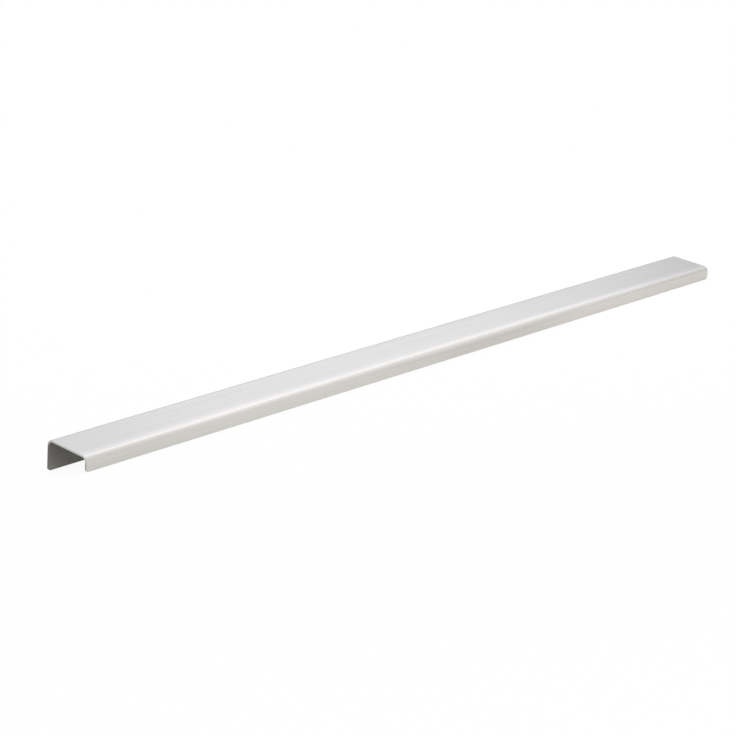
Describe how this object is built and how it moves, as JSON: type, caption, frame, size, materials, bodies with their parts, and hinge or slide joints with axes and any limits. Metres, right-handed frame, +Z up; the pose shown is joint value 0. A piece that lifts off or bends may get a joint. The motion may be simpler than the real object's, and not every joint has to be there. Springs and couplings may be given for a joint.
{
  "type": "edge pull",
  "caption": "Long edge pull folded from one strip of brushed sheet: a web over the panel's edge, a back leg with screw holes and a short finger lip.",
  "frame": {"origin": "on the floor, under the middle of the pull's box", "axes": "+X along the pull, -Y the side that the lip faces, +Z up; the pull rests on the free edges of its leg and lip, so its web slopes down to -Y by 17 degrees"},
  "size_m": [0.8, 0.0506, 0.0244],
  "materials": {
    "brushed_stainless": "satin, fine grain brushed along the length"
  },
  "bodies": {
    "root": {"edge_pull": "brushed_stainless"}
  },
  "joints": []
}
